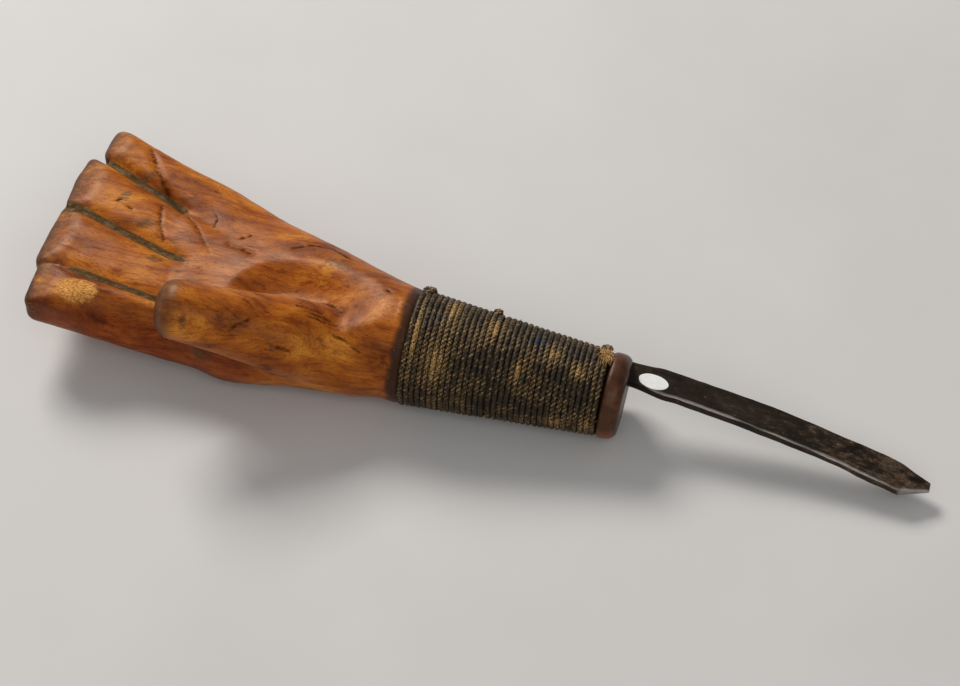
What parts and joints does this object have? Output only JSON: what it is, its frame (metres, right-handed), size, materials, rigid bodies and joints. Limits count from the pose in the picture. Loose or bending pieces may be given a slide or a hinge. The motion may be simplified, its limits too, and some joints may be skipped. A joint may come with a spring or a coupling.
{
  "type": "carving gouge",
  "caption": "Hand-forged carving gouge whose wooden handle is carved as an open left hand, with a twine-whipped wrist and a wooden collar at the blade.",
  "frame": {"origin": "centre of the flat end face of the wooden collar, on the wrist's axis", "axes": "+X along the tool's axis towards the cutting edge, +Z out of the carved palm, +Y away from the thumb"},
  "size_m": [0.2624, 0.083, 0.0433],
  "materials": {
    "carved_wood": "hand-worn carved hardwood with a dark oiled patina",
    "forged_steel": "dark forged steel with rust-brown mottling and worn bright edges",
    "tarred_twine": "black tarred two-ply twine with worn golden fibres",
    "paper_label": "blank white oval sticker"
  },
  "bodies": {
    "root": {"handle": "carved_wood", "blade": "forged_steel", "whipping_hand_side": "tarred_twine", "whipping_blade_side": "tarred_twine", "label": "paper_label"}
  },
  "joints": []
}
